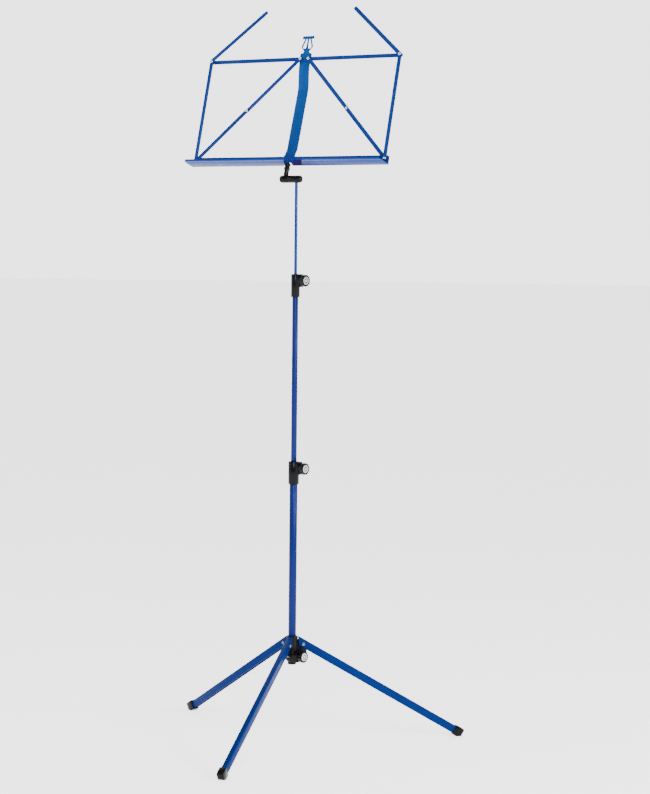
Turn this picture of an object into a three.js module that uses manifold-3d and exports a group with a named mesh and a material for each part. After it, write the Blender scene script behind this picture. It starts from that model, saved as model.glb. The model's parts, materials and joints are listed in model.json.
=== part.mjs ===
// Folding music stand: tripod base, three-stage post, tilting head and folding desk of flat bars.
// Millimetres, +Z up. The desk faces -Y. The group's origin is the centre of its footprint, on the floor.

import * as THREE from 'three';
import { mergeVertices } from 'three/addons/utils/BufferGeometryUtils.js';
import Module from 'manifold-3d';

const wasm = await Module();
wasm.setup();

const DEG = Math.PI / 180;

// Clearances and mesh fineness
const GAP = 0.3;
const WELD = 1e-4;
const ROUND_SEGMENTS = 24;
const SMALL_SEGMENTS = 10;
const KNOB_SEGMENTS = 32;
const CURVE_STEPS = 14;
const SLACK = 0.1;
const REACH = 200;

// Post: heights above the floor, radii
const LOWER_TUBE = { radius: 8, bore: 7.1, bottom: 163.9, top: 546 };
const MIDDLE_TUBE = { radius: 6, bore: 5.1, bottom: 525, top: 930 };
const ROD = { radius: 3.2, bottom: 820, top: 1146 };
const PLUG = { radius: 8.8, bottom: 157.7, edge: 0.8, depth: 8 };
const GUIDE = { length: 6, slack: 0.6 };

// Hub
const HUB = {
  bottom: 164, top: 216.5, barrel: 11.2, plate: 11.8, plateDepth: 4.8, edge: 0.8,
  foot: 10, skirt: 14, skirtLow: 168.5, skirtHigh: 179, waist: 188,
};
const RIB = { half: 3.7, root: 8.5, top: 209.5, eye: 6.2, reach: 29.5, shoulder: 192, low: 180, heel: 171 };

// Legs: inverted channels pivoted on the hub's ribs
const LEG_AZIMUTHS = { right: 38.7, left: 158.7, front: -81.3 };
const LEG_SLOPE = 30.4 * DEG;
const LEG_PIVOT_R = 22.8;
const LEG_PIVOT_Z = 199;
const LEG = {
  length: 381.5, above: 9.3, below: 6.6, half: 5.2, wall: 1.2, innerTop: 16.8, innerLow: 9.5, notch: -1.5,
};
const LEG_HEEL = { x: -2.6, height: 0.3, radius: 6.9 };
const FOOT = { start: 368, end: 387, above: 11.6, below: 8.6, half: 7, bevel: 2 };
const LEG_RIVET = { shank: 2, hole: 2.3, head: 3.9, rise: 1.5, rim: 0.4 };
const DOME_SHARE = 0.6;

// Clamps: a sleeve with a boss, a screw and a knob that all point to KNOB_AZIMUTH
const KNOB_AZIMUTH = -10 * DEG;
const KNOB = { radius: 12, length: 12.2, rear: 8.5, taper: 4, bore: 8 };
const LOBES = { count: 10, steps: 4, depth: 0.7 };
const KNOB_RIM = { width: 1.8, height: 1.5 };
const DISC = { radius: 8, thickness: 1, bevel: 0.3 };
const SCREW_R = 2.5;
const UPPER_CLAMP = {
  radius: 9, bottom: 907.9, top: 954.5, edge: 1, boss: 15.5, bossHalf: 5.5, screwZ: 941.5, face: 28.7,
};
const LOWER_CLAMP = {
  radius: 11, bottom: 527.8, top: 574.4, edge: 1, boss: 18.2, bossHalf: 6, screwZ: 561, face: 32.3,
};
const HUB_CLAMP = { boss: 19.5, bossHalf: 7.5, bossTop: 187, screwZ: 176.3, face: 33.5 };
const BOSS_HEIGHT = 26;

// Tilt head on the rod, with the stem's barrel beside it on one axle
const TILT_Z = 1145.3;
const HEAD = { radius: 7.5, left: -17.8, right: 12.6, dome: 5, axleEnd: -4.6 };
const CAP = { radius: 7.2, left: -36.6, right: -34.2, edge: 1.2 };
const AXLE_R = 2.5;
const STEM_X = -26;
const STEM = { barrelHalf: 7.9, radius: 5, top: -7.5, ringRadius: 6.3, ringEdge: 1.2 };
const STEM_RINGS = [{ low: -21.3, high: -15.7 }, { low: -13.7, high: -7.5 }];
const PIN = { radius: 1.5, height: -10.4, half: 5.6 };

// Desk: x to the right, u up along its plane, n forward out of it; u = 0 at the ledge pivots
const LEAN = 16 * DEG;
const DESK_RISE = 40.7;
const DESK_HALF = 222;
const PIVOT_HALF = 9.5;
const DESK_HEIGHT = 216.8;
const SHEET = 1.2;
const LAYER_PITCH = 1.55;
const LAYER = {
  spine: 0, topBar: 1, spineFoot: 1, ledge: 2, hingePlate: 3,
  upperDiagonal: 3, lowerDiagonal: 4, upright: 5, arm: 6,
};
const BAR_HALF = 3.6;
const KNEE_SHARE = 0.507;
const ARM = { length: 154.6, angle: 48.9 * DEG, tipHalf: 2.7 };
const RIVET = { shank: 1.6, hole: 1.9, collar: 2.9, head: 3.3, rise: 1.2, rearRise: 0.9 };

// Ledge halves: a flange behind, a floor with a shallow bead, a low front lip
const LEDGE = {
  top: 7.5, floor: -12, end: 230, depth: 39, lip: 4,
  lug: 6.5, corner: 5, chamfer: 12, bend: 2.2, frontCorner: 8,
};
const BEAD = { behindFront: 10.5, half: 4, flat: 1, depth: 1 };
// Where each floor starts at the back, and how far the start slants outwards on its way forward
const FLOOR_START = { left: -9.2, right: 32 };
const FLOOR_SLANT = 22;

// Spine: broad strip, bowed back between its top and its foot, with a lyre on top
const SPINE = { half: 12.2, shoulderHalf: 13.3, shoulder: 229.5, foot: -5, step: 5 };
const SPINE_BOW = { start: 10, low: 26, high: 150, end: 205, lowDepth: -4, highDepth: -10 };
const LYRE = {
  neck: 5.7, neckLow: 233.5, bowlHalf: 12.9, bowl: 243.5,
  wire: 3.2, waist: 7.5, string: 1.8, barLow: 260.7, top: 266,
};
const LYRE_BAR = { half: 13.5, bumps: 5, rise: 1.5 };

// Plate in front of the ledge lugs, with a tongue that the stem's slot grips
const HINGE_PLATE = { half: 12.2, top: 9, side: 1, ear: -3.8, tongueHalf: 3.6, tongueEnd: -13.2 };

const layerBack = (layer) => layer * LAYER_PITCH;
const layerFront = (layer) => layerBack(layer) + SHEET;

const paint = (color) => new THREE.MeshStandardMaterial({ color, roughness: 0.35, metalness: 0.1 });
const MATERIALS = {
  blue: paint(0x1c4f9c),
  tube: paint(0x2448a4),
  black: new THREE.MeshStandardMaterial({ color: 0x1d1c20, roughness: 0.5, metalness: 0 }),
  steel: new THREE.MeshStandardMaterial({ color: 0xc4c8cc, roughness: 0.25, metalness: 1 }),
  nylon: new THREE.MeshStandardMaterial({ color: 0xd8d6cc, roughness: 0.6, metalness: 0 }),
};

// ---- Solids ---------------------------------------------------------------------------------

// One closed body with shared corners, without the collapsed triangles at a lathe's poles
function weld(geometry) {
  const bare = geometry.clone();
  bare.deleteAttribute('normal');
  bare.deleteAttribute('uv');
  const merged = mergeVertices(bare, WELD);
  const index = merged.index.array;
  const kept = [];
  for (let i = 0; i < index.length; i += 3) {
    const [a, b, c] = [index[i], index[i + 1], index[i + 2]];
    if (a !== b && b !== c && c !== a) kept.push(a, b, c);
  }
  merged.setIndex(kept);
  return merged;
}

function solidOf(geometry) {
  const closed = weld(geometry);
  return new wasm.Manifold(new wasm.Mesh({
    numProp: 3,
    vertProperties: new Float32Array(closed.attributes.position.array),
    triVerts: new Uint32Array(closed.index.array),
  }));
}

function geometryOf(solid) {
  const mesh = solid.getMesh();
  const geometry = new THREE.BufferGeometry();
  geometry.setAttribute('position', new THREE.BufferAttribute(new Float32Array(mesh.vertProperties), 3));
  geometry.setIndex(new THREE.BufferAttribute(new Uint32Array(mesh.triVerts), 1));
  return geometry;
}

function join(first, ...others) {
  return geometryOf(others.reduce((sum, other) => sum.add(solidOf(other)), solidOf(first)));
}

function cut(body, ...tools) {
  return geometryOf(tools.reduce((rest, tool) => rest.subtract(solidOf(tool)), solidOf(body)));
}

function common(first, second) {
  return geometryOf(solidOf(first).intersect(solidOf(second)));
}

// Revolves [radius, height] pairs, listed upwards, about the Z axis
function revolve(profile, segments = ROUND_SEGMENTS) {
  const points = profile.map(([radius, height]) => new THREE.Vector2(radius, height));
  return new THREE.LatheGeometry(points, segments).rotateX(Math.PI / 2);
}

function rod(radius, low, high, segments = ROUND_SEGMENTS) {
  return revolve([[0, low], [radius, low], [radius, high], [0, high]], segments);
}

function tube({ radius, bore, bottom, top }) {
  return revolve([[bore, bottom], [radius, bottom], [radius, top], [bore, top], [bore, bottom]]);
}

// Extrudes an outline in the XY plane from one height to another
function plate(shape, low, high, curveSegments = 6) {
  const settings = { depth: high - low, bevelEnabled: false, curveSegments };
  return new THREE.ExtrudeGeometry(shape, settings).translate(0, 0, low);
}

function box(x, y, z) {
  const geometry = new THREE.BoxGeometry(x[1] - x[0], y[1] - y[0], z[1] - z[0]);
  return geometry.translate((x[0] + x[1]) / 2, (y[0] + y[1]) / 2, (z[0] + z[1]) / 2);
}

function polygon(points) {
  return new THREE.Shape(points.map(([x, y]) => new THREE.Vector2(x, y)));
}

function circle(x, y, radius) {
  return new THREE.Path().absarc(x, y, radius, 0, 2 * Math.PI);
}

// Points on an arc, ends included
function arc(x, y, radius, from, to, steps) {
  const turn = (i) => from + ((to - from) * i) / steps;
  const point = (angle) => [x + radius * Math.cos(angle), y + radius * Math.sin(angle)];
  return Array.from({ length: steps + 1 }, (_, i) => point(turn(i)));
}

function piece(name, geometry, material) {
  const mesh = new THREE.Mesh(weld(geometry), material);
  mesh.name = name;
  return mesh;
}

// Stands a plate in the XZ plane, centred on Y = 0
function upright(shape, half, curveSegments) {
  return plate(shape, -half, half, curveSegments).rotateX(Math.PI / 2);
}

// ---- Base -----------------------------------------------------------------------------------

// A web that carries one leg: an eye round the pivot and a broad gusset below it
function hubRib() {
  const eye = arc(LEG_PIVOT_R, LEG_PIVOT_Z, RIB.eye, 80 * DEG, 0, 4);
  const outline = [
    [RIB.root, RIB.top], [HUB.barrel, RIB.top], ...eye, [RIB.reach, RIB.shoulder], [RIB.reach, RIB.low],
    [HUB.barrel, RIB.heel], [RIB.root, RIB.heel],
  ];
  return upright(polygon(outline), RIB.half);
}

function hubGeometry() {
  const { barrel: radius, bottom, top, plate: lid, edge } = HUB;
  const barrel = revolve([
    [0, bottom], [HUB.foot, bottom], [HUB.skirt, HUB.skirtLow], [HUB.skirt, HUB.skirtHigh], [radius, HUB.waist],
    [radius, top - HUB.plateDepth], [lid, top - HUB.plateDepth], [lid, top - edge], [lid - edge, top], [0, top],
  ]);
  const ribs = Object.values(LEG_AZIMUTHS).map((azimuth) => hubRib().rotateZ(azimuth * DEG));
  const boss = box([0, HUB_CLAMP.boss], [-HUB_CLAMP.bossHalf, HUB_CLAMP.bossHalf], [bottom, HUB_CLAMP.bossTop]);
  const rivetHoles = Object.values(LEG_AZIMUTHS).map((azimuth) => legRivetHole().rotateZ(azimuth * DEG));
  const screwHole = rod(SCREW_R + GAP, 0, REACH, SMALL_SEGMENTS).rotateY(Math.PI / 2)
    .translate(0, 0, HUB_CLAMP.screwZ).rotateZ(KNOB_AZIMUTH);
  const bore = rod(LOWER_TUBE.radius + GAP, 0, bottom + REACH);
  return cut(join(barrel, ...ribs, boss.rotateZ(KNOB_AZIMUTH)), bore, screwHole, ...rivetHoles);
}

function legRivetHole() {
  return rod(LEG_RIVET.hole, -REACH / 10, REACH / 10, SMALL_SEGMENTS).rotateX(Math.PI / 2)
    .translate(LEG_PIVOT_R, 0, LEG_PIVOT_Z);
}

function legRivetGeometry() {
  const { shank, head, rise, rim } = LEG_RIVET;
  const inner = LEG.half + GAP;
  const outer = inner + rise;
  return revolve([
    [0, -outer], [head * DOME_SHARE, -outer], [head, -inner - rim], [head, -inner], [shank, -inner],
    [shank, inner], [head, inner], [head, inner + rim], [head * DOME_SHARE, outer], [0, outer],
  ], SMALL_SEGMENTS).rotateX(Math.PI / 2);
}

// Leg frame: x along the leg from its pivot, z square to it, before the leg is tipped by its slope
function legGeometry() {
  const { length, above, below, half, wall } = LEG;
  const heel = arc(LEG_HEEL.x, LEG_HEEL.height, LEG_HEEL.radius, 195 * DEG, 270 * DEG, 4);
  const outline = [
    [-LEG.innerTop, above], [-LEG.innerLow, LEG.notch], ...heel, [length, -below], [length, above],
  ];
  const hollow = box([-REACH, length + 1], [wall - half, half - wall], [-REACH, above - wall]);
  const hole = rod(LEG_RIVET.hole, -REACH / 10, REACH / 10, SMALL_SEGMENTS).rotateX(Math.PI / 2);
  return cut(upright(polygon(outline), half), hollow, hole);
}

// Height of the floor in the leg frame
function floorInLegFrame(x) {
  return (x * Math.sin(LEG_SLOPE) - LEG_PIVOT_Z) / Math.cos(LEG_SLOPE);
}

function footGeometry() {
  const facetStart = (LEG_PIVOT_Z - FOOT.below * Math.cos(LEG_SLOPE)) / Math.sin(LEG_SLOPE);
  const outline = [
    [FOOT.start, -FOOT.below], [facetStart, -FOOT.below], [FOOT.end, floorInLegFrame(FOOT.end)],
    [FOOT.end, FOOT.above - FOOT.bevel], [FOOT.end - FOOT.bevel, FOOT.above], [FOOT.start, FOOT.above],
  ];
  const wide = LEG.half + GAP;
  const socket = box([FOOT.start - 1, LEG.length + GAP], [-wide, wide], [-LEG.below - GAP, LEG.above + GAP]);
  return cut(upright(polygon(outline), FOOT.half), socket);
}

function addLeg(stand, side, azimuth) {
  const arm = new THREE.Group();
  arm.rotation.z = azimuth * DEG;
  const tipped = new THREE.Group();
  tipped.position.set(LEG_PIVOT_R, 0, LEG_PIVOT_Z);
  tipped.rotation.y = LEG_SLOPE;
  tipped.add(piece(`${side}_leg`, legGeometry(), MATERIALS.blue));
  tipped.add(piece(`${side}_foot_cap`, footGeometry(), MATERIALS.black));
  tipped.add(piece(`${side}_leg_rivet`, legRivetGeometry(), MATERIALS.steel));
  arm.add(tipped);
  stand.add(arm);
}

// ---- Clamps and post ------------------------------------------------------------------------

// A radial rod at a clamp's screw height, from one distance to another
function radial(geometry, height) {
  return geometry.rotateY(Math.PI / 2).translate(0, 0, height).rotateZ(KNOB_AZIMUTH);
}

function clampGeometry(clamp, lowBore, shoulder, highBore) {
  const { radius, bottom, top, edge } = clamp;
  const sleeve = revolve([
    [0, bottom], [radius - edge, bottom], [radius, bottom + edge],
    [radius, top - edge], [radius - edge, top], [0, top],
  ]);
  const boss = box([0, clamp.boss], [-clamp.bossHalf, clamp.bossHalf], [top - BOSS_HEIGHT, top]);
  const lower = rod(lowBore + GAP, bottom - 1, shoulder + GAP);
  const upper = rod(highBore + GAP, bottom - 1, top + 1);
  const screwHole = radial(rod(SCREW_R + GAP, 0, REACH, SMALL_SEGMENTS), clamp.screwZ);
  return cut(join(sleeve, boss.rotateZ(KNOB_AZIMUTH)), lower, upper, screwHole);
}

function knobShape() {
  const shape = new THREE.Shape();
  const steps = LOBES.count * LOBES.steps;
  for (let i = 0; i < steps; i += 1) {
    const turn = (2 * Math.PI * i) / steps;
    const radius = KNOB.radius - LOBES.depth * (1 - Math.cos(LOBES.count * turn)) * 0.5;
    const point = [radius * Math.cos(turn), radius * Math.sin(turn)];
    if (i === 0) shape.moveTo(...point);
    else shape.lineTo(...point);
  }
  return shape;
}

// The knob is built along Z with its visible face at height = face
function knobGeometry(face) {
  const rear = face - KNOB.length;
  const grip = common(plate(knobShape(), rear, face), revolve([
    [0, rear], [KNOB.rear, rear], [KNOB.radius, rear + KNOB.taper], [KNOB.radius, face - KNOB_RIM.height],
    [KNOB.radius - KNOB_RIM.width, face], [0, face],
  ], KNOB_SEGMENTS));
  const recess = rod(DISC.radius + GAP, face - DISC.thickness - GAP, face + 1);
  const screwBore = rod(SCREW_R + GAP, rear - 1, rear + KNOB.bore, SMALL_SEGMENTS);
  return cut(grip, recess, screwBore);
}

function addKnob(stand, name, clamp, contact) {
  const rear = clamp.face - KNOB.length;
  const screw = rod(SCREW_R, contact + GAP + SLACK, rear + KNOB.bore - GAP, SMALL_SEGMENTS);
  const disc = revolve([
    [0, clamp.face - DISC.thickness], [DISC.radius, clamp.face - DISC.thickness],
    [DISC.radius, clamp.face - DISC.bevel], [DISC.radius - DISC.bevel, clamp.face], [0, clamp.face],
  ]);
  stand.add(piece(`${name}_knob`, radial(knobGeometry(clamp.face), clamp.screwZ), MATERIALS.black));
  stand.add(piece(`${name}_knob_disc`, radial(disc, clamp.screwZ), MATERIALS.steel));
  stand.add(piece(`${name}_screw`, radial(screw, clamp.screwZ), MATERIALS.steel));
}

function plugGeometry() {
  const { radius, bottom, edge, depth } = PLUG;
  const shoulder = HUB.bottom - GAP - SLACK;
  const spigot = LOWER_TUBE.bore - GAP;
  return revolve([
    [0, bottom], [radius - edge, bottom], [radius, bottom + edge], [radius, shoulder],
    [spigot, shoulder], [spigot, shoulder + depth], [0, shoulder + depth],
  ]);
}

// A guide ring under the middle tube's end, with a spigot up inside it
function tubeGuideGeometry() {
  const top = MIDDLE_TUBE.bottom - GAP;
  const bore = ROD.radius + GUIDE.slack;
  const wide = LOWER_TUBE.bore - GAP;
  const spigot = MIDDLE_TUBE.bore - GAP;
  return revolve([
    [bore, top - GUIDE.length], [wide, top - GUIDE.length], [wide, top], [spigot, top],
    [spigot, top + GUIDE.length], [bore, top + GUIDE.length], [bore, top - GUIDE.length],
  ]);
}

// A cup on the rod's lower end, which keeps it centred in the middle tube
function rodGuideGeometry() {
  const outer = MIDDLE_TUBE.bore - GAP;
  const inner = ROD.radius + GAP;
  const base = ROD.bottom - GAP;
  return revolve([
    [0, base - GUIDE.length], [outer, base - GUIDE.length], [outer, base + GUIDE.length],
    [inner, base + GUIDE.length], [inner, base], [0, base],
  ]);
}

function addPost(stand) {
  const { blue, tube: tubePaint, black, nylon } = MATERIALS;
  stand.add(piece('hub', hubGeometry(), black));
  stand.add(piece('lower_tube', tube(LOWER_TUBE), tubePaint));
  stand.add(piece('lower_tube_plug', plugGeometry(), black));
  const lowerClamp = clampGeometry(LOWER_CLAMP, LOWER_TUBE.radius, LOWER_TUBE.top, MIDDLE_TUBE.radius);
  stand.add(piece('lower_clamp', lowerClamp, black));
  stand.add(piece('middle_tube', tube(MIDDLE_TUBE), tubePaint));
  stand.add(piece('middle_tube_guide', tubeGuideGeometry(), nylon));
  const upperClamp = clampGeometry(UPPER_CLAMP, MIDDLE_TUBE.radius, MIDDLE_TUBE.top, ROD.radius);
  stand.add(piece('upper_clamp', upperClamp, black));
  stand.add(piece('upper_rod', rod(ROD.radius, ROD.bottom, ROD.top), blue));
  stand.add(piece('upper_rod_guide', rodGuideGeometry(), nylon));
  addKnob(stand, 'hub', HUB_CLAMP, LOWER_TUBE.radius);
  addKnob(stand, 'lower_clamp', LOWER_CLAMP, MIDDLE_TUBE.radius);
  addKnob(stand, 'upper_clamp', UPPER_CLAMP, ROD.radius);
}

// ---- Tilt head ------------------------------------------------------------------------------

function alongAxle(geometry) {
  return geometry.rotateY(Math.PI / 2).translate(0, 0, TILT_Z);
}

// Revolved with its domed end up, then laid along +X
function tiltHeadGeometry() {
  const { radius, left, right, dome } = HEAD;
  const shoulder = arc(radius - dome, right - dome, dome, 0, 90 * DEG, 4);
  const body = revolve([[0, left], [radius, left], ...shoulder, [0, right]]);
  const rodSocket = rod(ROD.radius + GAP, TILT_Z - REACH, ROD.top + GAP);
  const axleHole = rod(AXLE_R + GAP, left - 1, HEAD.axleEnd, SMALL_SEGMENTS);
  return cut(alongAxle(body), rodSocket, alongAxle(axleHole));
}

function addTiltHead(stand) {
  const axle = rod(AXLE_R, CAP.right + GAP, HEAD.axleEnd - GAP, SMALL_SEGMENTS);
  const cap = revolve([
    [0, CAP.left], [CAP.radius - CAP.edge, CAP.left], [CAP.radius, CAP.left + CAP.edge],
    [CAP.radius, CAP.right], [0, CAP.right],
  ]);
  stand.add(piece('tilt_head', tiltHeadGeometry(), MATERIALS.black));
  stand.add(piece('tilt_axle', alongAxle(axle), MATERIALS.steel));
  stand.add(piece('tilt_cap', alongAxle(cap), MATERIALS.black));
}

// Stem frame: x along the axle, y up along the desk, z forward; y = 0 at the ledge pivots
function stemGeometry() {
  const { radius, ringRadius: wide, ringEdge: edge } = STEM;
  const shaft = rod(radius, -DESK_RISE, STEM.top).rotateX(-Math.PI / 2);
  const rings = STEM_RINGS.map(({ low, high }) => revolve([
    [0, low], [wide - edge, low], [wide, low + edge], [wide, high - edge], [wide - edge, high], [0, high],
  ]).rotateX(-Math.PI / 2));
  const lying = (geometry) => geometry.rotateY(Math.PI / 2).translate(0, -DESK_RISE, 0);
  const barrel = lying(rod(HEAD.radius, -STEM.barrelHalf, STEM.barrelHalf));
  const axleHole = lying(rod(AXLE_R + GAP, -REACH, REACH, SMALL_SEGMENTS));
  const slotHalf = SHEET / 2 + GAP;
  const slotSide = HINGE_PLATE.tongueHalf + GAP;
  const slot = box([-slotSide, slotSide], [HINGE_PLATE.tongueEnd - GAP, 0], [-slotHalf, slotHalf]);
  const pinHole = rod(PIN.radius + GAP, -REACH, REACH, SMALL_SEGMENTS).translate(0, PIN.height, 0);
  return cut(join(shaft, barrel, ...rings), axleHole, slot, pinHole);
}

// ---- Desk -----------------------------------------------------------------------------------

// A flat bar along +X with round ends, a hole at x = 0 and, where asked, one at its far end
function barGeometry(length, { farHole = true, farHalf = BAR_HALF } = {}) {
  const shape = new THREE.Shape();
  const centre = length + BAR_HALF - farHalf;
  shape.absarc(0, 0, BAR_HALF, 90 * DEG, 270 * DEG);
  shape.absarc(centre, 0, farHalf, -90 * DEG, 90 * DEG);
  shape.holes.push(circle(0, 0, RIVET.hole));
  if (farHole) shape.holes.push(circle(length, 0, RIVET.hole));
  return plate(shape, 0, SHEET);
}

// Places a bar in its layer between two points of the desk plane
function bar(name, layer, from, to, ending) {
  const mesh = piece(name, barGeometry(from.distanceTo(to), ending), MATERIALS.blue);
  mesh.position.set(from.x, from.y, layerBack(layer));
  mesh.rotation.z = Math.atan2(to.y - from.y, to.x - from.x);
  return mesh;
}

// A shouldered rivet along n through the given layers; collars fill the layers that it skips
function rivet(name, at, layers, { material = MATERIALS.steel, rearHead = true } = {}) {
  const last = layers.length - 1;
  const back = layerBack(layers[0]) - (rearHead ? GAP : 0);
  const front = layerFront(layers[last]) + GAP;
  const rear = [[0, back - RIVET.rearRise], [RIVET.collar, back - RIVET.rearRise], [RIVET.collar, back]];
  const profile = [...(rearHead ? rear : [[0, back]]), [RIVET.shank, back]];
  for (let i = 0; i < last; i += 1) {
    if (layers[i + 1] - layers[i] === 1) continue;
    const low = layerFront(layers[i]) + GAP;
    const high = layerBack(layers[i + 1]) - GAP;
    profile.push([RIVET.shank, low], [RIVET.collar, low], [RIVET.collar, high], [RIVET.shank, high]);
  }
  profile.push([RIVET.shank, front], [RIVET.head, front]);
  profile.push([RIVET.head * DOME_SHARE, front + RIVET.rise], [0, front + RIVET.rise]);
  const mesh = piece(name, revolve(profile, SMALL_SEGMENTS), material);
  mesh.position.set(at.x, at.y, 0);
  return mesh;
}

// A prism over a plan outline of [x, n] pairs, from u = low to u = high
function prism(plan, low, high) {
  return plate(polygon(plan), -high, -low).rotateX(Math.PI / 2);
}

// Flange in the desk plane: lug round the pivot, rounded outer top corner
function flangeGeometry(side) {
  const { top, floor, end, lug, corner, chamfer } = LEDGE;
  const lugArc = arc(PIVOT_HALF, 0, lug, 100 * DEG, 225 * DEG, 7);
  const topCorner = arc(end - corner, top - corner, corner, 0, 90 * DEG, 4);
  const outline = [...lugArc, [chamfer, floor], [end, floor], ...topCorner, [PIVOT_HALF + lug, top]];
  const shape = polygon(outline.map(([x, u]) => [side * x, u]));
  shape.holes.push(circle(side * PIVOT_HALF, 0, RIVET.hole), circle(side * DESK_HALF, 0, RIVET.hole));
  return plate(shape, layerBack(LAYER.ledge), layerFront(LAYER.ledge));
}

// Cross-section of floor and lip as [n, u] pairs, with the bead as a shallow fold upwards
function troughSection(back, front) {
  const bead = front - BEAD.behindFront;
  const face = (u) => [
    [back, u], [bead - BEAD.half, u], [bead - BEAD.flat, u + BEAD.depth], [bead + BEAD.flat, u + BEAD.depth],
    [bead + BEAD.half, u],
  ];
  const bend = (radius) => arc(front - LEDGE.bend, LEDGE.floor + LEDGE.bend, radius, -90 * DEG, 0, 4);
  const lipTop = LEDGE.floor + LEDGE.lip;
  const outside = [...face(LEDGE.floor), ...bend(LEDGE.bend), [front, lipTop]];
  const inside = [...face(LEDGE.floor + SHEET), ...bend(LEDGE.bend - SHEET), [front - SHEET, lipTop]];
  return [...outside, ...inside.reverse()];
}

function ledgeGeometry(side) {
  const back = layerBack(LAYER.ledge);
  const front = back + LEDGE.depth;
  const start = side > 0 ? FLOOR_START.right : FLOOR_START.left;
  const inner = side > 0 ? start : start + FLOOR_SLANT;
  const outer = side * LEDGE.end;
  const [low, high] = [Math.min(inner, outer), Math.max(inner, outer)];
  const section = polygon(troughSection(back, front));
  const trough = plate(section, 0, high - low).rotateY(-Math.PI / 2).translate(high, 0, 0);
  const slant = (t) => [start + FLOOR_SLANT * t, back + LEDGE.depth * t];
  const waste = start - side * 3 * FLOOR_SLANT;
  const slantCut = prism([slant(-1), slant(2), [waste, front + REACH], [waste, back - REACH]], -REACH, 0);
  const round = LEDGE.frontCorner;
  const corner = [
    ...arc(LEDGE.end - round, front - round, round, 90 * DEG, 0, 5), [LEDGE.end + 1, front - round],
    [LEDGE.end + 1, front + 1], [LEDGE.end - round, front + 1],
  ].map(([x, n]) => [side * x, n]);
  return join(cut(trough, slantCut, prism(corner, -REACH, 0)), flangeGeometry(side));
}

function ease(value, from, to) {
  const t = THREE.MathUtils.clamp((value - from) / (to - from), 0, 1);
  return t * t * (3 - 2 * t);
}

// Depth of the spine's rear face at a height up the desk
function spineBack(u) {
  const { start, low, high, end, lowDepth, highDepth } = SPINE_BOW;
  const foot = layerBack(LAYER.spineFoot) * (1 - ease(u, start, low));
  const slope = THREE.MathUtils.clamp((u - low) / (high - low), 0, 1);
  const dip = lowDepth * ease(u, start, low) + (highDepth - lowDepth) * slope;
  return foot + dip * (1 - ease(u, high, end));
}

// Smooth curve through [x, u] points
function curve(points) {
  const spline = new THREE.SplineCurve(points.map(([x, u]) => new THREE.Vector2(x, u)));
  return spline.getPoints(CURVE_STEPS).map((p) => [p.x, p.y]);
}

function lyreArm() {
  const { neck, neckLow, bowlHalf, bowl, waist, barLow } = LYRE;
  return curve([
    [neck, neckLow], [neck + 3.2, neckLow + 4.2], [bowlHalf, bowl],
    [(bowlHalf + waist) / 2, (bowl + barLow) / 2 + 1], [waist, barLow],
  ]);
}

// The opening between the lyre's string and its right arm
function lyreOpening(side) {
  const { bowlHalf, bowl, wire, waist, barLow, neckLow, string } = LYRE;
  const round = curve([
    [string, bowl + 3], [string + 1.6, neckLow + 6.6],
    [bowlHalf - wire - 1.4, neckLow + 6.8], [bowlHalf - wire, bowl + 0.4],
    [(bowlHalf + waist) / 2 - wire, (bowl + barLow) / 2 + 1], [waist - wire, barLow],
  ]);
  return new THREE.Path([...round, [string, barLow]].map(([x, u]) => new THREE.Vector2(side * x, u)));
}

function spineOutline() {
  const { half, shoulderHalf, shoulder, foot } = SPINE;
  const rightSide = [
    [half, foot], [half, DESK_HEIGHT - 12], [shoulderHalf, DESK_HEIGHT - 3], [shoulderHalf, shoulder - 1.5],
    [shoulderHalf - 1.5, shoulder], [LYRE.neck + 2, shoulder + 1], ...lyreArm(), [LYRE_BAR.half, LYRE.barLow],
  ];
  const steps = LYRE_BAR.bumps * 4;
  const crest = Array.from({ length: steps + 1 }, (_, i) => [
    LYRE_BAR.half * (1 - (2 * i) / steps), LYRE.top + LYRE_BAR.rise * Math.abs(Math.sin((Math.PI * i) / 4)),
  ]);
  const leftSide = rightSide.map(([x, u]) => [-x, u]).reverse();
  const shape = polygon([...rightSide, ...crest, ...leftSide]);
  for (const side of [-1, 1]) {
    shape.holes.push(circle(side * PIVOT_HALF, 0, RIVET.hole));
    shape.holes.push(circle(side * PIVOT_HALF, DESK_HEIGHT, RIVET.hole));
    shape.holes.push(lyreOpening(side));
  }
  return shape;
}

function spineGeometry() {
  const heights = [SPINE.foot - 1];
  for (let u = SPINE_BOW.start; u <= SPINE_BOW.end; u += SPINE.step) heights.push(u);
  heights.push(LYRE.top + REACH);
  const rear = heights.map((u) => [spineBack(u), u]);
  const front = heights.map((u) => [spineBack(u) + SHEET, u]).reverse();
  const strip = plate(polygon([...rear, ...front]), -REACH / 4, REACH / 4).rotateY(-Math.PI / 2);
  return common(strip, plate(spineOutline(), -REACH, REACH));
}

function hingePlateGeometry() {
  const { half, top, side, ear, tongueHalf, tongueEnd } = HINGE_PLATE;
  const right = [
    [tongueHalf, tongueEnd], [tongueHalf, ear - 1], [PIVOT_HALF - 2, ear], [PIVOT_HALF + 1, ear],
    [half, side - 2], [half, top - 1.5], [half - 1.5, top],
  ];
  const left = right.map(([x, u]) => [-x, u]).reverse();
  const shape = polygon([...right, ...left]);
  shape.holes.push(circle(-PIVOT_HALF, 0, RIVET.hole), circle(PIVOT_HALF, 0, RIVET.hole));
  shape.holes.push(circle(0, PIN.height, PIN.radius + GAP));
  return plate(shape, layerBack(LAYER.hingePlate), layerFront(LAYER.hingePlate));
}

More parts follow.
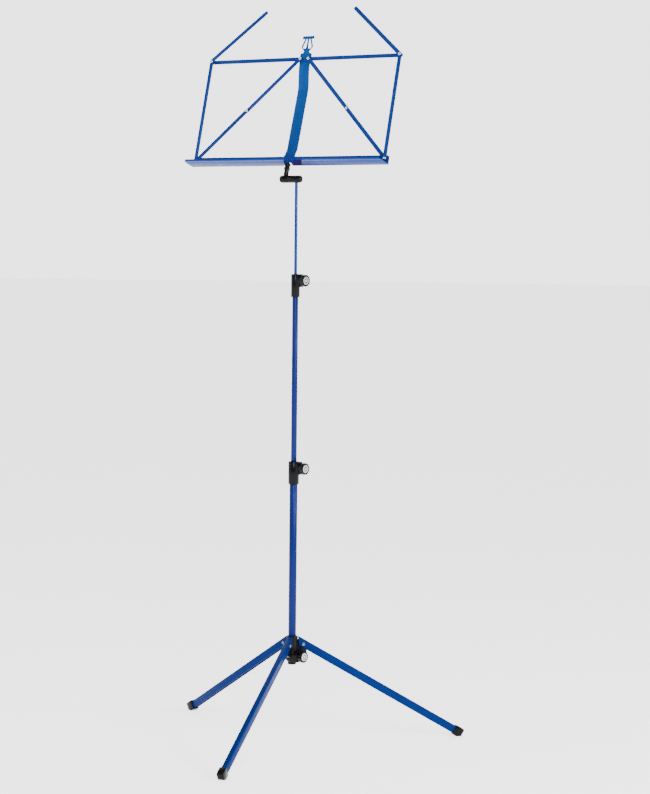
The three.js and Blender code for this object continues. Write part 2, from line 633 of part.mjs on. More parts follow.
function addHalfDesk(desk, name, side) {
  const at = (x, u) => new THREE.Vector2(side * x, u);
  const top = at(PIVOT_HALF, DESK_HEIGHT);
  const hinge = at(PIVOT_HALF, 0);
  const outerTop = at(DESK_HALF, DESK_HEIGHT);
  const outerLow = at(DESK_HALF, 0);
  const knee = top.clone().lerp(outerLow, KNEE_SHARE);
  const armTurn = Math.PI / 2 + side * ARM.angle;
  const reach = new THREE.Vector2(Math.cos(armTurn), Math.sin(armTurn)).multiplyScalar(ARM.length);
  const armTip = outerTop.clone().add(reach);
  desk.add(piece(`${name}_ledge`, ledgeGeometry(side), MATERIALS.blue));
  desk.add(bar(`${name}_top_bar`, LAYER.topBar, top, outerTop));
  desk.add(bar(`${name}_upright`, LAYER.upright, outerLow, outerTop));
  desk.add(bar(`${name}_upper_diagonal`, LAYER.upperDiagonal, top, knee, { farHole: false }));
  desk.add(bar(`${name}_lower_diagonal`, LAYER.lowerDiagonal, outerLow, knee));
  desk.add(bar(`${name}_page_arm`, LAYER.arm, outerTop, armTip, { farHole: false, farHalf: ARM.tipHalf }));
  desk.add(rivet(`${name}_spine_rivet`, top, [LAYER.spine, LAYER.topBar, LAYER.upperDiagonal]));
  desk.add(rivet(`${name}_corner_rivet`, outerTop, [LAYER.topBar, LAYER.upright, LAYER.arm]));
  desk.add(rivet(`${name}_ledge_rivet`, outerLow, [LAYER.ledge, LAYER.lowerDiagonal, LAYER.upright]));
  desk.add(rivet(`${name}_knee_rivet`, knee, [LAYER.lowerDiagonal], { rearHead: false }));
  const hingeLayers = [LAYER.spineFoot, LAYER.ledge, LAYER.hingePlate];
  desk.add(rivet(`${name}_hinge_rivet`, hinge, hingeLayers, { material: MATERIALS.blue }));
}

// Everything that tilts: x along the tilt axle, y up the desk, z out of its front
function addDesk(stand) {
  const tilting = new THREE.Group();
  tilting.position.set(STEM_X, 0, TILT_Z);
  tilting.rotation.x = Math.PI / 2 - LEAN;
  const stem = new THREE.Group();
  stem.position.y = DESK_RISE;
  const pinSolid = rod(PIN.radius, -PIN.half, PIN.half, SMALL_SEGMENTS).translate(0, PIN.height, 0);
  stem.add(piece('desk_stem', stemGeometry(), MATERIALS.black));
  stem.add(piece('stem_pin', pinSolid, MATERIALS.steel));
  const desk = new THREE.Group();
  desk.position.set(0, DESK_RISE, -layerBack(LAYER.hingePlate) - SHEET / 2);
  desk.add(piece('spine', spineGeometry(), MATERIALS.blue));
  desk.add(piece('hinge_plate', hingePlateGeometry(), MATERIALS.blue));
  addHalfDesk(desk, 'left', -1);
  addHalfDesk(desk, 'right', 1);
  tilting.add(stem, desk);
  stand.add(tilting);
}

// ---- Whole stand ----------------------------------------------------------------------------

const stand = new THREE.Group();
for (const [side, azimuth] of Object.entries(LEG_AZIMUTHS)) addLeg(stand, side, azimuth);
addPost(stand);
addTiltHead(stand);
addDesk(stand);

// The origin is the middle of the stand's box, at floor level
const extent = new THREE.Box3().setFromObject(stand, true);
const middle = extent.getCenter(new THREE.Vector3());
stand.position.set(-middle.x, -middle.y, -extent.min.z);
const musicStand = new THREE.Group();
musicStand.add(stand);

export default musicStand;
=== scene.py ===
"""Looks of the folding music stand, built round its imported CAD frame. Metres, +Z up; the desk faces -Y."""

import json
import math

import bmesh
import bpy
from mathutils import Matrix, Vector
from mathutils.bvhtree import BVHTree


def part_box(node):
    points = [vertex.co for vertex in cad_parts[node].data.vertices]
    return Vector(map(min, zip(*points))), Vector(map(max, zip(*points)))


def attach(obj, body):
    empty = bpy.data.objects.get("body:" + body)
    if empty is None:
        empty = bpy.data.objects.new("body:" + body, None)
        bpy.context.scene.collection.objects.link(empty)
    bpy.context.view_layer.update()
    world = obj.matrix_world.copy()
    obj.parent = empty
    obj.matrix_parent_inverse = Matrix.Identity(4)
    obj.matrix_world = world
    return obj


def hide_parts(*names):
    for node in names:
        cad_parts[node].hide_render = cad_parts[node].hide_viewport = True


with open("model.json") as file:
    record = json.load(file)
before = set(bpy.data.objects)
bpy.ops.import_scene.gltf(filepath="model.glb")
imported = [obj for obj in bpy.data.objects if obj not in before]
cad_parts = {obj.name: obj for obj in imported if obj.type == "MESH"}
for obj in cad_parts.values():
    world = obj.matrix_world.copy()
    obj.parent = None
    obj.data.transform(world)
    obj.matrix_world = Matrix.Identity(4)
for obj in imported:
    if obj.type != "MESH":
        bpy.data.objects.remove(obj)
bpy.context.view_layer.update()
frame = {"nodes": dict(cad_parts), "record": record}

MM = 0.001
DEG = math.pi / 180

# Camera: where it stands round the post, and what it sees
CAMERA_AZIMUTH = 30.54 * DEG
CAMERA_DISTANCE = 4.2496
CAMERA_HEIGHT = 1.0065
CAMERA_PITCH = 4.052 * DEG
CAMERA_ROLL = 0.54 * DEG
CAMERA_YAW = 0.835 * DEG
CAMERA_LENS = 95.23
SENSOR_WIDTH = 36
CLIP_END = 200

# Studio: radiance of the room, of the backdrop and of the floor by itself
ROOM_GLOW = 0.5
BACKDROP_GLOW = 3.1
FLOOR_GLOW = 1.95
FLOOR_RADIUS = 60

# Lamps: where each stands, what it points at, its width and height, and its power in watts
LAMPS = {
    "strip": ((2.4, -0.2, 1.35), (0, 0.06, 1.1), (0.3, 1.5), 80),
    "key": ((2.2, -3.4, 3.2), (0, 0, 0.8), (1.8, 1.8), 190),
    "fill": ((-3.4, -2.2, 2.2), (0, 0, 0.9), (2.4, 2.4), 60),
}

# The desk's directions: up along its plane, and out of its front
LEAN = 16 * DEG
DESK_UP = Vector((0, math.sin(LEAN), math.cos(LEAN)))
DESK_FRONT = Vector((0, -math.cos(LEAN), math.sin(LEAN)))
DESK_RIGHT = Vector((1, 0, 0))

# Directions round the post in which the knobs and the legs point
KNOB_AZIMUTH = -10 * DEG
LEG_AZIMUTHS = {"right": 38.7 * DEG, "left": 158.7 * DEG, "front": -81.3 * DEG}

NODE_BODY = {
    node: body for body, nodes in frame["record"]["behaviour"]["bodies"].items() for node in nodes
}
NODE_SLOT = {part["node"]: part["material_slot"] for part in frame["record"]["subparts"]}


# ---- Materials ------------------------------------------------------------------------------


def srgb(hex_colour):
    """Linear RGBA of an sRGB hex colour."""
    channels = [int(hex_colour[i : i + 2], 16) / 255 for i in (0, 2, 4)]
    linear = [c / 12.92 if c <= 0.04045 else ((c + 0.055) / 1.055) ** 2.4 for c in channels]
    return (*linear, 1.0)


class Shader:
    """A material with a Principled BSDF and a few helpers that wire nodes to it."""

    def __init__(self, name, **sockets):
        self.material = bpy.data.materials.new(name)
        self.material.use_nodes = True
        self.tree = self.material.node_tree
        self.bsdf = self.tree.nodes["Principled BSDF"]
        for socket, value in sockets.items():
            self.bsdf.inputs[socket.replace("_", " ")].default_value = value
        self.coordinates = self.tree.nodes.new("ShaderNodeTexCoord").outputs["Object"]

    def node(self, kind, inputs=None, **settings):
        node = self.tree.nodes.new(kind)
        for name, value in settings.items():
            setattr(node, name, value)
        for name, value in (inputs or {}).items():
            if isinstance(value, bpy.types.NodeSocket):
                self.tree.links.new(value, node.inputs[name])
            else:
                node.inputs[name].default_value = value
        return node

    def link(self, output, socket):
        self.tree.links.new(output, self.bsdf.inputs[socket])

    def noise(self, scale, detail=3.0, roughness=0.5, stretch=None):
        vector = self.coordinates
        if stretch:
            vector = self.node("ShaderNodeMapping", {"Vector": vector, "Scale": stretch}).outputs[0]
        inputs = {"Vector": vector, "Scale": scale, "Detail": detail, "Roughness": roughness}
        return self.node("ShaderNodeTexNoise", inputs).outputs["Fac"]

    def mapped(self, value, low, high, from_low=0.3, from_high=0.7):
        spread = {"From Min": from_low, "From Max": from_high}
        inputs = {"Value": value, "To Min": low, "To Max": high, **spread}
        return self.node("ShaderNodeMapRange", inputs).outputs["Result"]

    def mix(self, factor, first, second):
        mixer = self.node("ShaderNodeMix", data_type="RGBA")
        self.tree.links.new(factor, mixer.inputs[0])
        mixer.inputs[6].default_value = first
        mixer.inputs[7].default_value = second
        return mixer.outputs[2]

    def bump(self, height, strength, distance, below=None):
        inputs = {"Height": height, "Strength": strength, "Distance": distance}
        if below is not None:
            inputs["Normal"] = below
        return self.node("ShaderNodeBump", inputs).outputs["Normal"]


def gloss_paint(name, light, dark, metallic=0.3, specular=0.07):
    """Metallic lacquer: faint clouding in the colour, a soft orange peel and a few dull patches."""
    shader = Shader(name, Metallic=metallic, Specular_IOR_Level=specular)
    clouds = shader.mapped(shader.noise(38, 4), 0, 1)
    shader.link(shader.mix(clouds, light, dark), "Base Color")
    shader.link(shader.mapped(shader.noise(95, 5, 0.6), 0.26, 0.42), "Roughness")
    peel = shader.bump(shader.noise(900, 2), 0.12, 0.0001)
    shader.link(shader.bump(shader.noise(140, 2), 0.05, 0.0004, peel), "Normal")
    return shader.material


def moulded_plastic(name, light, dark, roughness=(0.3, 0.46), specular=0.3):
    """Moulding with a fine spark-eroded grain and slight flow marks."""
    shader = Shader(name, Metallic=0.0, Specular_IOR_Level=specular)
    clouds = shader.mapped(shader.noise(60, 4), 0, 1)
    shader.link(shader.mix(clouds, srgb(light), srgb(dark)), "Base Color")
    shader.link(shader.mapped(shader.noise(160, 4), *roughness), "Roughness")
    grain = shader.bump(shader.noise(2600, 2, 0.7), 0.25, 0.0001)
    shader.link(shader.bump(shader.noise(260, 3), 0.12, 0.0002, grain), "Normal")
    return shader.material


def plated_steel(name, light, dark, roughness=(0.16, 0.34)):
    """Bright plating with hairline scratches and small dull spots."""
    shader = Shader(name, Metallic=1.0)
    clouds = shader.mapped(shader.noise(220, 4), 0, 1)
    shader.link(shader.mix(clouds, srgb(light), srgb(dark)), "Base Color")
    shader.link(shader.mapped(shader.noise(420, 5, 0.65), *roughness), "Roughness")
    hairlines = shader.noise(700, 3, 0.6, stretch=(1, 1, 9))
    shader.link(shader.bump(hairlines, 0.12, 0.0001), "Normal")
    return shader.material


MATERIALS = {
    "blue_paint": gloss_paint("blue_paint", (0.0055, 0.031, 0.185, 1), (0.0062, 0.026, 0.155, 1)),
    # Painted shade: the tubes' paint is a darker copy of the blue, set against the light the round tubes
    # catch
    "tube_paint": gloss_paint("tube_paint", (0.006, 0.014, 0.1, 1), (0.0065, 0.012, 0.085, 1)),
    # Painted shade: the legs' paint is a darker, less glossy copy of the blue, set against the light that
    # falls on the legs' tops
    "leg_paint_shaded": gloss_paint("leg_paint_shaded", (0.0016, 0.0155, 0.105, 1), (0.002, 0.013, 0.09, 1), 0.1, 0.02),
    # Painted light: the spine's paint is a lighter, more cyan copy of the blue, for the light the spine
    # catches
    "spine_paint_lit": gloss_paint("spine_paint_lit", (0.0015, 0.049, 0.21, 1), (0.002, 0.043, 0.185, 1)),
    # Painted shade: a dark violet-blue for the sheet that stands for the shadow on the right ledge's lug
    "shade_sheet_paint": gloss_paint("shade_sheet_paint", (0.016, 0.009, 0.07, 1), (0.014, 0.008, 0.06, 1), 0.1, 0.03),
    "black_plastic": moulded_plastic("black_plastic", "08080b", "0c0c10", (0.15, 0.24), 0.09),
    # Painted shade: the leg rivets' steel is darker than the bright steel, for the dim reflections on them;
    # it is also a little rougher
    "dull_shaded_steel": plated_steel("dull_shaded_steel", "85888d", "5e6166", (0.2, 0.4)),
    "bright_steel": plated_steel("bright_steel", "c6c9cd", "a4a8ae"),
    "knob_disc": plated_steel("knob_disc", "d9dbdd", "b4b7bb", (0.22, 0.4)),
    "nylon": moulded_plastic("nylon", "dcd8cc", "cfcabb", specular=0.5),
}

# Nodes whose look differs a little from their slot's. The legs' and the spine's paints are shaded and lit
# copies of the blue, and the leg rivets' steel is darkened: painted shade and painted light
PAINTED = {
    "spine": "spine_paint_lit", "right_leg": "leg_paint_shaded", "left_leg": "leg_paint_shaded", "front_leg": "leg_paint_shaded",
    "right_leg_rivet": "dull_shaded_steel", "left_leg_rivet": "dull_shaded_steel", "front_leg_rivet": "dull_shaded_steel",
    "stem_pin": "black_plastic",
}


# ---- Mesh helpers ---------------------------------------------------------------------------


# Edges flatter than this are shaded smooth, and the others are eased
SMOOTH = 48 * DEG


def finish_piece(name, mesh, nodes, smooth=SMOOTH):
    """Makes the mesh a piece that stands for CAD nodes of one body and moves with that body."""
    piece = bpy.data.objects.new(name, mesh)
    bpy.context.scene.collection.objects.link(piece)
    mesh.materials.clear()
    mesh.materials.append(MATERIALS[PAINTED.get(nodes[0], NODE_SLOT[nodes[0]])])
    mesh.shade_smooth()
    mesh.set_sharp_from_angle(angle=smooth)
    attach(piece, NODE_BODY[nodes[0]])
    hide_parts(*nodes)


def add_detail(name, mesh, node, slot, look=None):
    """A small extra piece that rides with a CAD node's body. Its look is the slot's unless one is named."""
    piece = bpy.data.objects.new(name, mesh)
    bpy.context.scene.collection.objects.link(piece)
    mesh.materials.append(MATERIALS[look or slot])
    mesh.shade_smooth()
    mesh.set_sharp_from_angle(angle=SMOOTH)
    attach(piece, NODE_BODY[node])


def refined(node, edge=0.25, bend=0.0, smooth=SMOOTH, reshape=None):
    """The CAD shape with facets merged, folds rounded by bend and edges eased by edge, both in mm."""
    mesh = bpy.data.meshes.new(node + "_fine")
    work = bmesh.new()
    work.from_mesh(frame["nodes"][node].data)
    if reshape:
        for vertex in work.verts:
            vertex.co = reshape(vertex.co)
    bmesh.ops.remove_doubles(work, verts=work.verts, dist=1e-6)
    bmesh.ops.dissolve_limit(work, angle_limit=0.4 * DEG, verts=work.verts, edges=work.edges)
    if bend:
        broad = 0.3 * max(face.calc_area() for face in work.faces)
        folds = [
            e for e in work.edges
            if len(e.link_faces) == 2 and e.calc_face_angle() > smooth
            and all(face.calc_area() > broad for face in e.link_faces)
        ]
        bmesh.ops.bevel(
            work, geom=folds, offset=bend * MM, segments=4, profile=0.5, affect="EDGES", clamp_overlap=True
        )
    sharp = [e for e in work.edges if len(e.link_faces) == 2 and e.calc_face_angle() > smooth]
    bmesh.ops.bevel(
        work, geom=sharp, offset=edge * MM, segments=2, profile=0.5, affect="EDGES", clamp_overlap=True
    )
    work.to_mesh(mesh)
    work.free()
    finish_piece(node + "_fine", mesh, [node], smooth)


def axis_frame(axis, centre):
    """A matrix that carries +Z to the axis and the origin to the centre."""
    turn = Vector((0, 0, 1)).rotation_difference(axis.normalized()).to_matrix().to_4x4()
    return Matrix.Translation(centre) @ turn


def revolved_mesh(name, profile, place, segments=64, wobble=None):
    """Revolves [radius, height] pairs in mm about Z; a radius of 0 is one point on the axis."""
    work = bmesh.new()
    rings = []
    for radius, height in profile:
        if radius < 1e-6:
            rings.append([work.verts.new((0, 0, height * MM))])
            continue
        ring = []
        for i in range(segments):
            turn = 2 * math.pi * i / segments
            reach = radius + (wobble(turn, radius) if wobble else 0)
            spot = (reach * MM * math.cos(turn), reach * MM * math.sin(turn), height * MM)
            ring.append(work.verts.new(spot))
        rings.append(ring)
    closed = len(rings[0]) > 1
    pairs = list(zip(rings, rings[1:] + rings[:1])) if closed else list(zip(rings, rings[1:]))
    for low, high in pairs:
        for i in range(segments):
            j = (i + 1) % segments
            corners = [low[i % len(low)], low[j % len(low)], high[j % len(high)], high[i % len(high)]]
            unique = list(dict.fromkeys(corners))
            if len(unique) > 2:
                work.faces.new(unique)
    bmesh.ops.recalc_face_normals(work, faces=work.faces)
    mesh = bpy.data.meshes.new(name)
    work.to_mesh(mesh)
    work.free()
    mesh.transform(place)
    return mesh


def rounded(points, radius, steps=4):
    """Rounds the corners of an open [r, z] profile, keeping its ends."""
    out = [points[0]]
    for before, corner, after in zip(points, points[1:], points[2:]):
        a, b, c = Vector(before), Vector(corner), Vector(after)
        reach = min(radius, (a - b).length * 0.45, (c - b).length * 0.45)
        start = b + (a - b).normalized() * reach
        end = b + (c - b).normalized() * reach
        for i in range(steps + 1):
            t = i / steps
            out.append(tuple(start * (1 - t) ** 2 + b * 2 * t * (1 - t) + end * t * t))
    return out + [points[-1]]


def centre(node):
    low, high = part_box(node)
    return (low + high) / 2


# ---- Pieces ---------------------------------------------------------------------------------


# Edges of the tubes and of the rod, and the bores of the two tubes
TUBE_EDGE = 0.3
ROD_EDGE = 0.6
LOWER_TUBE_BORE = 7.1
MIDDLE_TUBE_BORE = 5.1

# Knobs: radius, length, finger flutes, the well for the disc and the hole for the screw
KNOB_RADIUS = 12.0
KNOB_LENGTH = 12.2
KNOB_REAR = 8.4
KNOB_TAPER = 4
KNOB_LOBES = 10
FLUTE_DEPTH = 0.8
FLUTE_START = 9
WELL_RADIUS = 8.3
WELL_DEPTH = 1.3
SCREW_HOLE_RADIUS = 2.8
SCREW_HOLE_DEPTH = 8
KNOB_SEGMENTS = 160

# Discs in the knobs: radius and thickness, and the floor of the groove that holds the black ring
DISC_RADIUS = 8.0
DISC_THICKNESS = 1
GROOVE_FLOOR = -0.85


def upright_place(node):
    """A matrix that stands a revolved shape on the bottom of its node's box."""
    low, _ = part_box(node)
    return Matrix.Translation((centre(node).x, centre(node).y, low.z))


def radius_and_length(node):
    """Radius and length in mm of a node that is round about an upright axis."""
    low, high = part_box(node)
    return (high.x - low.x) / 2 / MM, (high.z - low.z) / MM


def make_tube(node, bore):
    radius, length = radius_and_length(node)
    profile = [
        (bore, TUBE_EDGE), (bore + TUBE_EDGE, 0), (radius - TUBE_EDGE, 0), (radius, TUBE_EDGE),
        (radius, length - TUBE_EDGE), (radius - TUBE_EDGE, length), (bore + TUBE_EDGE, length),
        (bore, length - TUBE_EDGE),
    ]
    finish_piece(node + "_fine", revolved_mesh(node + "_fine", profile, upright_place(node)), [node])


def make_rod(node):
    radius, length = radius_and_length(node)
    profile = rounded([(0, 0), (radius, 0), (radius, length), (0, length)], ROD_EDGE)
    mesh = revolved_mesh(node + "_fine", profile, upright_place(node), 48)
    finish_piece(node + "_fine", mesh, [node])


def knob_wobble(turn, radius):
    """Finger flutes: shallow hollows round the rim that die away towards the middle."""
    depth = FLUTE_DEPTH * max(0, (radius - FLUTE_START) / (KNOB_RADIUS - FLUTE_START))
    return -depth * abs(math.cos(KNOB_LOBES * turn / 2)) ** 3


def make_knob(node, disc):
    """A fluted knob with a disc let into its face, and a black ring in the disc's groove."""
    axis = Vector((math.cos(KNOB_AZIMUTH), math.sin(KNOB_AZIMUTH), 0))
    rear_place = axis_frame(axis, centre(node) - axis * KNOB_LENGTH / 2 * MM)
    face_place = axis_frame(axis, centre(node) + axis * KNOB_LENGTH / 2 * MM)
    face = KNOB_LENGTH
    well = face - WELL_DEPTH
    outline = rounded([
        (SCREW_HOLE_RADIUS, SCREW_HOLE_DEPTH), (SCREW_HOLE_RADIUS, 0), (KNOB_REAR, 0),
        (KNOB_RADIUS, KNOB_TAPER), (KNOB_RADIUS, face), (9.6, face), (8.7, face - 0.2),
        (WELL_RADIUS, well), (0, well),
    ], 0.9)
    profile = [(0, SCREW_HOLE_DEPTH)] + outline
    mesh = revolved_mesh(node + "_fine", profile, rear_place, KNOB_SEGMENTS, knob_wobble)
    finish_piece(node + "_fine", mesh, [node])
    rings = [(0, -DISC_THICKNESS), (DISC_RADIUS, -DISC_THICKNESS), (DISC_RADIUS, -0.25)]
    rings += [(DISC_RADIUS - 0.3, 0), (5.2, 0), (5, -0.2), (4.9, GROOVE_FLOOR), (3.3, GROOVE_FLOOR)]
    rings += [(3.2, -0.2), (3, 0), (1.2, 0), (0.9, -0.35), (0, -0.45)]
    finish_piece(disc + "_fine", revolved_mesh(disc + "_fine", rings, face_place, 96), [disc], 25 * DEG)
    enamel = [(3.4, GROOVE_FLOOR), (4.8, GROOVE_FLOOR), (4.8, -0.1), (4.6, 0.05), (3.6, 0.05), (3.4, -0.1)]
    add_detail(disc + "_ring", revolved_mesh(disc + "_ring", enamel, face_place, 64), node, "black_plastic")


def rolled_head(radius, rise):
    """A tubular rivet's rolled rim and the hollow in its middle, as [r, z] below the head's top."""
    rim = [(radius, 0.25 - rise)]
    for turn in (20 * DEG, 40 * DEG, 60 * DEG, 90 * DEG):
        rim.append((radius * (0.62 + 0.38 * math.cos(turn)), -rise * (1 - math.sin(turn))))
    return rim + [(radius * 0.54, -0.15), (radius * 0.44, -0.6), (radius * 0.3, -1.0), (0, -1.1)]


# Desk rivets: radius of the shank and of the front head, and how far the two heads stand up
RIVET_SHANK = 1.6
RIVET_HEAD = 3.3
RIVET_RISE = 1.2
RIVET_REAR = 0.9

# Leg rivets: half their length, and the shank, which ends where the head starts
LEG_RIVET_HALF = 7.0
LEG_RIVET_SHANK = (2, 5.5)
LEG_RIVET_HEAD = 3.5
RIVET_SEGMENTS = 40


def make_rivet(node, axis):
    """A tubular rivet along the axis, as long as its CAD node: rear head, shank and rolled front head."""
    along = [v.co.dot(axis) for v in frame["nodes"][node].data.vertices]
    low, high = min(along), max(along)
    middle = centre(node)
    base = middle + axis * (low - middle.dot(axis))
    length = (high - low) / MM
    profile = [(0, 0), (RIVET_SHANK, 0)]
    if "knee" not in node:
        profile = [(0, 0), (2.2, 0), (2.7, 0.2), (2.9, 0.55), (2.9, RIVET_REAR), (RIVET_SHANK, RIVET_REAR)]
    profile += [(RIVET_SHANK, length - RIVET_RISE), (RIVET_HEAD, length - RIVET_RISE)]
    profile += [(r, length + z) for r, z in rolled_head(RIVET_HEAD, RIVET_RISE)]
    mesh = revolved_mesh(node + "_fine", profile, axis_frame(axis, base), RIVET_SEGMENTS)
    finish_piece(node + "_fine", mesh, [node], 40 * DEG)


def make_leg_rivet(node, azimuth):
    """A leg pivot across its leg, with a rolled head at either end."""
    axis = Vector((-math.sin(azimuth), math.cos(azimuth), 0))
    radius, end = LEG_RIVET_SHANK
    head = rolled_head(LEG_RIVET_HEAD, LEG_RIVET_HALF - end)
    side = [(radius, 0), (radius, end), (LEG_RIVET_HEAD, end), *[(r, LEG_RIVET_HALF + z) for r, z in head]]
    profile = [(r, -z) for r, z in reversed(side)] + side[1:]
    mesh = revolved_mesh(node + "_fine", profile, axis_frame(axis, centre(node)), RIVET_SEGMENTS)
    finish_piece(node + "_fine", mesh, [node])


def make_post():
    """Tubes, rod, hub and clamps, with the plug and guides that hold the tubes in each other."""
    make_tube("lower_tube", LOWER_TUBE_BORE)
    make_tube("middle_tube", MIDDLE_TUBE_BORE)
    make_rod("upper_rod")
    for name in ("hub", "lower_clamp", "upper_clamp"):
        refined(name, edge=0.7)
        make_knob(name + "_knob", name + "_knob_disc")
        refined(name + "_screw", edge=0.2)
    refined("lower_tube_plug", edge=0.3)
    refined("middle_tube_guide", edge=0.2)
    refined("upper_rod_guide", edge=0.2)


def make_legs():
    """Folded channel legs with their caps and pivots."""
    for side, azimuth in LEG_AZIMUTHS.items():
        refined(side + "_leg", edge=0.3, bend=1.6)
        refined(side + "_foot_cap", edge=1.3)
        make_leg_rivet(side + "_leg_rivet", azimuth)


def make_head():
    """The tilting joint between the rod and the desk."""
    refined("tilt_head", edge=0.5)
    refined("tilt_cap", edge=0.4)
    refined("tilt_axle", edge=0.3)
    refined("desk_stem", edge=0.4)
    refined("stem_pin", edge=0.3)


# Half widths of the CAD bars, of the CAD arms at their tips, and of both as they are widened here
BAR_HALF = 3.6
ARM_TIP_HALF = 2.7
WIDENED_HALF = 4.2

# The rivets at the two ends of each kind of bar
ENDS = {
    "top_bar": ("spine_rivet", "corner_rivet"),
    "upright": ("ledge_rivet", "corner_rivet"),
    "upper_diagonal": ("spine_rivet", "knee_rivet"),
    "lower_diagonal": ("ledge_rivet", "knee_rivet"),
    "page_arm": ("corner_rivet", None),
}


def in_desk_plane(point):
    """The point moved along the desk's normal to the plane through the origin."""
    return point - DESK_FRONT * point.dot(DESK_FRONT)


def make_bar(side, bar):
    """A flat bar, widened from its CAD width to one even width along its whole length."""
    node = f"{side}_{bar}"
    first, last = ENDS[bar]
    start = in_desk_plane(centre(f"{side}_{first}"))
    far = max((v.co for v in frame["nodes"][node].data.vertices), key=lambda co: (co - start).length)
    along = in_desk_plane((centre(f"{side}_{last}") if last else far) - start)
    across = DESK_FRONT.cross(along).normalized()
    length = along.length
    taper = 0 if last else (BAR_HALF - ARM_TIP_HALF) / length

    def widen(co):
        offset = (co - start).dot(across)
        run = min(max((co - start).dot(along) / length, 0), length)
        return co + across * offset * (WIDENED_HALF / (BAR_HALF - taper * run) - 1)

    refined(node, edge=0.42, reshape=widen)


# Rows of pips up the spine: height above the hinge rivets and distance from the middle line
PIP_ROWS = {"high": (152, 2.6), "low": (53, 4.6)}
PIP_DOME = [(0, -0.3), (1.25, -0.3), (1.25, 0), (1.0, 0.22), (0.5, 0.36), (0, 0.4)]


def make_spine_pips():
    """Two pairs of pressed pips on the front of the spine."""
    spine = frame["nodes"]["spine"].data
    surface = BVHTree.FromPolygons([v.co for v in spine.vertices], [p.vertices for p in spine.polygons])
    low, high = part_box("left_hinge_rivet")
    foot = Vector((centre("spine").x, low.y, (low.z + high.z) / 2))
    for row, (height, half) in PIP_ROWS.items():
        for side, offset in (("left", -half), ("right", half)):
            start = foot + DESK_UP * height * MM + DESK_RIGHT * offset * MM + DESK_FRONT * 0.05
            spot, normal, _, _ = surface.ray_cast(start, -DESK_FRONT)
            label = f"spine_pip_{row}_{side}"
            mesh = revolved_mesh(label, PIP_DOME, axis_frame(normal, spot), 24)
            add_detail(label, mesh, "spine", "blue_paint")


# The painted-shade sheet beside the hinge plate, a thin dark sheet that stands for the shadow on the right
# ledge's lug: [right, up] from the hinge rivets, thickness, and how deep it is let in
SHADE_SHEET_OUTLINE = [(12.6, 0.4), (33, 0.4), (33, -8.8), (31, -11.8), (14.5, -11.8), (12.6, -10.6)]
SHADE_SHEET_THICKNESS = 0.4
SHADE_SHEET_SINK = 0.1


def make_ledge_shade_sheet():
    """A thin dark sheet on the front of the right ledge's lug, beside the hinge plate: painted shade, where
    the lug lies in shadow under the ledge.
    """
    middle = (centre("left_hinge_rivet") + centre("right_hinge_rivet")) / 2
    ledge = frame["nodes"]["right_ledge"].data
    facing = [p.center.dot(DESK_FRONT) for p in ledge.polygons if p.normal.dot(DESK_FRONT) > 0.99]
    foot = in_desk_plane(middle) + DESK_FRONT * (min(facing) - SHADE_SHEET_SINK * MM)
    work = bmesh.new()
    rear = [work.verts.new(foot + (DESK_RIGHT * x + DESK_UP * up) * MM) for x, up in SHADE_SHEET_OUTLINE]
    front = [work.verts.new(vertex.co + DESK_FRONT * SHADE_SHEET_THICKNESS * MM) for vertex in rear]
    work.faces.new(rear)
    work.faces.new(front)
    for i in range(len(rear)):
        work.faces.new((rear[i - 1], rear[i], front[i], front[i - 1]))
    bmesh.ops.recalc_face_normals(work, faces=work.faces)
    mesh = bpy.data.meshes.new("ledge_shade_sheet")
    work.to_mesh(mesh)
    work.free()
    add_detail("ledge_shade_sheet", mesh, "right_ledge", "blue_paint", "shade_sheet_paint")


def make_desk():
    """Spine, hinge, ledge halves, bars, arms and their rivets."""
    refined("spine", edge=0.25)
    make_spine_pips()
    refined("hinge_plate", edge=0.25)
    # Painted shade: a dark sheet on the right ledge's lug, where it lies in shadow
    make_ledge_shade_sheet()
    for side in ("left", "right"):
        refined(side + "_ledge", edge=0.3, bend=1.5)
        for bar in ENDS:
            make_bar(side, bar)
        for rivet in ("spine", "corner", "ledge", "knee", "hinge"):
            make_rivet(f"{side}_{rivet}_rivet", DESK_FRONT)


make_post()
make_legs()
make_head()
make_desk()


# ---- Stage ----------------------------------------------------------------------------------


def make_floor():
    """A pale sheet that lies flat under the stand and far out behind it."""
    shader = Shader("studio_floor", Roughness=0.9, Specular_IOR_Level=0.1)
    shader.link(shader.mix(shader.noise(3, 2), (0.74, 0.74, 0.74, 1), (0.76, 0.76, 0.76, 1)), "Base Color")
    shader.bsdf.inputs["Emission Color"].default_value = (1, 1, 1, 1)
    shader.bsdf.inputs["Emission Strength"].default_value = FLOOR_GLOW
    work = bmesh.new()
    bmesh.ops.create_circle(work, cap_ends=True, radius=FLOOR_RADIUS, segments=64)
    mesh = bpy.data.meshes.new("floor")
    work.to_mesh(mesh)
    work.free()
    mesh.materials.append(shader.material)
    floor = bpy.data.objects.new("floor", mesh)
    bpy.context.scene.collection.objects.link(floor)


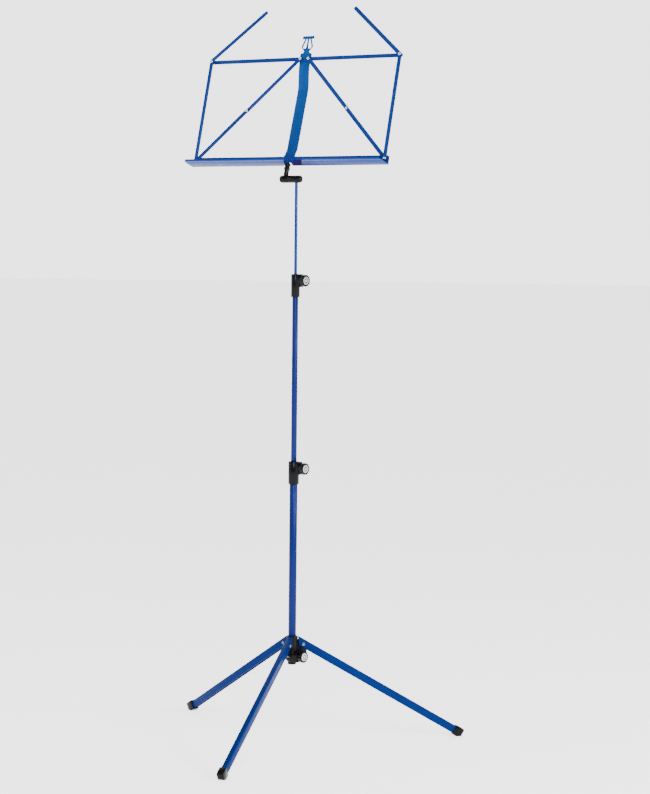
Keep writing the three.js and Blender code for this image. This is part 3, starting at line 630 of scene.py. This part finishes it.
def make_world():
    """A white room that is brighter towards the backdrop, on the far side of the stand."""
    world = bpy.data.worlds.new("studio")
    world.use_nodes = True
    nodes, links = world.node_tree.nodes, world.node_tree.links
    place = nodes.new("ShaderNodeTexCoord")
    toward = nodes.new("ShaderNodeVectorMath")
    toward.operation = "DOT_PRODUCT"
    toward.inputs[1].default_value = (-math.sin(CAMERA_AZIMUTH), math.cos(CAMERA_AZIMUTH), 0)
    links.new(place.outputs["Generated"], toward.inputs[0])
    glow = nodes.new("ShaderNodeMapRange")
    glow.interpolation_type = "SMOOTHSTEP"
    spread = {"From Min": 0.2, "From Max": 0.85, "To Min": ROOM_GLOW, "To Max": BACKDROP_GLOW}
    for name, value in spread.items():
        glow.inputs[name].default_value = value
    links.new(toward.outputs["Value"], glow.inputs["Value"])
    background = nodes["Background"]
    background.inputs["Color"].default_value = (1, 1, 1, 1)
    links.new(glow.outputs["Result"], background.inputs["Strength"])
    bpy.context.scene.world = world


def make_light(name, spot, target, size, power):
    light = bpy.data.lights.new(name, "AREA")
    light.shape = "RECTANGLE"
    light.energy = power
    light.size, light.size_y = size
    lamp = bpy.data.objects.new(name, light)
    lamp.matrix_world = axis_frame(Vector(spot) - Vector(target), Vector(spot))
    bpy.context.scene.collection.objects.link(lamp)


def make_camera():
    camera = bpy.data.cameras.new("camera")
    camera.lens = CAMERA_LENS
    camera.sensor_width = SENSOR_WIDTH
    camera.clip_end = CLIP_END
    post = centre("lower_tube")
    right = Vector((math.cos(CAMERA_AZIMUTH), math.sin(CAMERA_AZIMUTH), 0))
    level = Vector((-math.sin(CAMERA_AZIMUTH), math.cos(CAMERA_AZIMUTH), 0))
    ahead = level * math.cos(CAMERA_PITCH) - Vector((0, 0, math.sin(CAMERA_PITCH)))
    up = right.cross(ahead)
    rolled_right = right * math.cos(CAMERA_ROLL) + up * math.sin(CAMERA_ROLL)
    rolled_up = up * math.cos(CAMERA_ROLL) - right * math.sin(CAMERA_ROLL)
    view = ahead * math.cos(CAMERA_YAW) + rolled_right * math.sin(CAMERA_YAW)
    across = rolled_right * math.cos(CAMERA_YAW) - ahead * math.sin(CAMERA_YAW)
    spot = Vector((post.x, post.y, 0)) - level * CAMERA_DISTANCE + Vector((0, 0, CAMERA_HEIGHT))
    matrix = Matrix((across, rolled_up, -view)).transposed().to_4x4()
    matrix.translation = spot
    holder = bpy.data.objects.new("camera", camera)
    holder.matrix_world = matrix
    bpy.context.scene.collection.objects.link(holder)
    bpy.context.scene.camera = holder


make_floor()
make_world()
for lamp_name, (lamp_spot, lamp_target, lamp_size, lamp_power) in LAMPS.items():
    make_light(lamp_name, lamp_spot, lamp_target, lamp_size, lamp_power)
make_camera()
